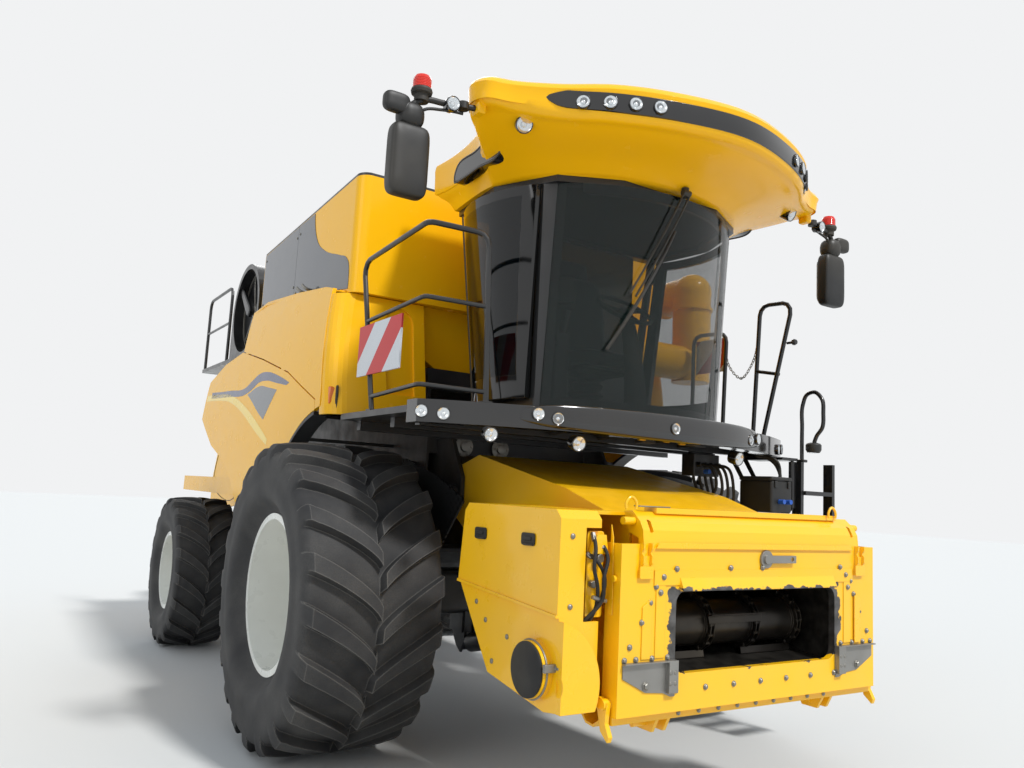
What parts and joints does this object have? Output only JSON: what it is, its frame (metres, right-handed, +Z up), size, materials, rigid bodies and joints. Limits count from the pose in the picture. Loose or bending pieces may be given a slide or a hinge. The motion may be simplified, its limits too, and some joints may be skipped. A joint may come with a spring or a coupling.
{
  "type": "combine harvester",
  "caption": "Self-propelled combine harvester on four lugged tyres, with feeder housing, glazed cab, covered grain tank, folded unloading auger, hinged side panels and rear hood.",
  "frame": {"origin": "on the ground, under the middle of the machine's outline", "axes": "-Y forwards along the machine, +X to its left side, +Z up"},
  "size_m": [3.93, 8.874, 3.9997],
  "materials": {
    "yellow_paint": "gloss",
    "feeder_paint": "gloss, worn at the mouth",
    "black_paint": "satin",
    "black_gloss": "gloss",
    "grey_paint": "satin",
    "rim_paint": "gloss",
    "tyre": "matt",
    "worn_steel": "worn",
    "dark_steel": "dull",
    "chrome": "polished",
    "tank_paint": "gloss",
    "cast": "matt",
    "glass": "tinted",
    "seat_cloth": "woven",
    "grey_plastic": "matt",
    "lamp_lens": "clear",
    "beacon_red": "clear",
    "hazard": "reflective"
  },
  "bodies": {
    "machine": {"chassis": "grey_paint", "front_axle": "grey_paint", "rear_axle": "grey_paint", "cab_frame": "black_paint", "cab_roof": "yellow_paint", "windscreen": "glass", "side_frame": "black_paint", "side_glass": "glass", "rear_window": "glass", "seat": "seat_cloth", "console": "grey_plastic", "roof_lamps": "black_gloss", "front_lamps": "lamp_lens", "mirrors": "black_paint", "beacons": "beacon_red", "wiper": "black_paint", "bumper": "black_gloss", "platforms": "black_paint", "handrails": "black_paint", "hazard_plates": "hazard", "wheel_shields": "black_paint", "grain_tank": "tank_paint", "shoulder_panels": "yellow_paint", "auger_turret": "yellow_paint", "engine_block": "cast", "engine_hood": "yellow_paint", "screen_housing": "black_paint", "exhaust": "dark_steel", "deck_rails": "black_paint", "rear_hood": "yellow_paint"},
    "feeder": {"feeder_housing": "feeder_paint", "feeder_face": "feeder_paint", "wear_plates": "worn_steel", "feeder_chains": "dark_steel", "drive_cover": "feeder_paint"},
    "lift_barrels": {"lift_barrels": "black_paint"},
    "lift_rods": {"lift_rods": "chrome"},
    "tie_rod": {"tie_rod": "dark_steel"},
    "knuckle_right": {"knuckle_right": "grey_paint"},
    "knuckle_left": {"knuckle_left": "grey_paint"},
    "wheel_front_right": {"rim_front_right": "rim_paint", "tyre_front_right": "tyre"},
    "wheel_front_left": {"rim_front_left": "rim_paint", "tyre_front_left": "tyre"},
    "wheel_rear_right": {"rim_rear_right": "rim_paint", "tyre_rear_right": "tyre"},
    "wheel_rear_left": {"rim_rear_left": "rim_paint", "tyre_rear_left": "tyre"},
    "cab_door": {"cab_door": "black_paint", "door_glass": "glass"},
    "ladder": {"ladder": "black_paint"},
    "tank_cover_right": {"tank_cover_right": "black_paint"},
    "tank_cover_left": {"tank_cover_left": "black_paint"},
    "side_panel_right": {"side_panel_right": "yellow_paint"},
    "side_panel_left": {"side_panel_left": "yellow_paint"},
    "unloading_auger": {"unloading_auger": "yellow_paint"},
    "chopper_rotor": {"chopper_rotor": "dark_steel"},
    "spreader_right": {"spreader_right": "dark_steel"},
    "spreader_left": {"spreader_left": "dark_steel"}
  },
  "joints": [
    {"name": "front_right_spin", "type": "hinge", "parent": "machine", "child": "wheel_front_right", "pos_m": [-1.515, -2.03, 0.985], "axis": [1, 0, 0], "continuous": true},
    {"name": "front_left_spin", "type": "hinge", "parent": "machine", "child": "wheel_front_left", "pos_m": [1.515, -2.03, 0.985], "axis": [1, 0, 0], "continuous": true},
    {"name": "steer_right", "type": "hinge", "parent": "machine", "child": "knuckle_right", "pos_m": [-1.215, 1.74, 0.745], "axis": [0, 0, 1], "range_deg": [-28, 28]},
    {"name": "steer_left", "type": "hinge", "parent": "machine", "child": "knuckle_left", "pos_m": [1.215, 1.74, 0.745], "axis": [0, 0, 1], "range_deg": [-28, 28]},
    {"name": "tie_rod_slide", "type": "slide", "parent": "machine", "child": "tie_rod", "axis": [1, 0, 0], "range_m": [-0.13, 0.13]},
    {"name": "rear_right_spin", "type": "hinge", "parent": "knuckle_right", "child": "wheel_rear_right", "pos_m": [-1.53, 1.74, 0.745], "axis": [1, 0, 0], "continuous": true},
    {"name": "rear_left_spin", "type": "hinge", "parent": "knuckle_left", "child": "wheel_rear_left", "pos_m": [1.53, 1.74, 0.745], "axis": [1, 0, 0], "continuous": true},
    {"name": "feeder_lift", "type": "hinge", "parent": "machine", "child": "feeder", "pos_m": [0, -2.28, 1.7], "axis": [1, 0, 0], "range_deg": [-12, 10]},
    {"name": "lift_barrel_pivot", "type": "hinge", "parent": "machine", "child": "lift_barrels", "pos_m": [0, -2.12, 0.62], "axis": [1, 0, 0], "range_deg": [-10, 10]},
    {"name": "lift_rod_slide", "type": "slide", "parent": "lift_barrels", "child": "lift_rods", "axis": [0, -0.9737, 0.2279], "range_m": [-0.19, 0.225]},
    {"name": "cab_door_hinge", "type": "hinge", "parent": "machine", "child": "cab_door", "pos_m": [0.742, -2.535, 2.28], "axis": [0.1289, 0, 0.9917], "range_deg": [0, 60]},
    {"name": "ladder_swing", "type": "hinge", "parent": "machine", "child": "ladder", "pos_m": [1.545, -3.36, 1.7], "axis": [0, 0, 1], "range_deg": [-90, 0]},
    {"name": "tank_cover_right_hinge", "type": "hinge", "parent": "machine", "child": "tank_cover_right", "pos_m": [-1.446, -1.98, 3.9303], "axis": [0, 0.9985, -0.0548], "range_deg": [-88, 0]},
    {"name": "tank_cover_left_hinge", "type": "hinge", "parent": "machine", "child": "tank_cover_left", "pos_m": [1.446, -1.98, 3.9303], "axis": [0, 0.9985, -0.0548], "range_deg": [0, 88]},
    {"name": "side_panel_right_hinge", "type": "hinge", "parent": "machine", "child": "side_panel_right", "pos_m": [-1.5935, -1.13, 2.54], "axis": [0.0207, 0.9751, 0.221], "range_deg": [0, 65]},
    {"name": "side_panel_left_hinge", "type": "hinge", "parent": "machine", "child": "side_panel_left", "pos_m": [1.5935, -1.13, 2.54], "axis": [-0.0207, 0.9751, 0.221], "range_deg": [-65, 0]},
    {"name": "auger_swing", "type": "hinge", "parent": "machine", "child": "unloading_auger", "pos_m": [1.64, -2.19, 3.356], "axis": [0, 0, 1], "range_deg": [-95, 0]},
    {"name": "chopper_spin", "type": "hinge", "parent": "machine", "child": "chopper_rotor", "pos_m": [0, 3.37, 1.85], "axis": [1, 0, 0], "continuous": true},
    {"name": "spreader_right_spin", "type": "hinge", "parent": "machine", "child": "spreader_right", "pos_m": [-0.45, 3.71, 1.2], "axis": [0, 0, 1], "continuous": true},
    {"name": "spreader_left_spin", "type": "hinge", "parent": "machine", "child": "spreader_left", "pos_m": [0.45, 3.71, 1.2], "axis": [0, 0, 1], "continuous": true}
  ],
  "couplings": [
    {"joint": "steer_left", "follows": "steer_right", "ratio": 1},
    {"joint": "tie_rod_slide", "follows": "steer_right", "m_per_rad": -0.252},
    {"joint": "lift_barrel_pivot", "follows": "feeder_lift", "ratio": 0.7174},
    {"joint": "lift_rod_slide", "follows": "feeder_lift", "m_per_rad": -1.006}
  ]
}
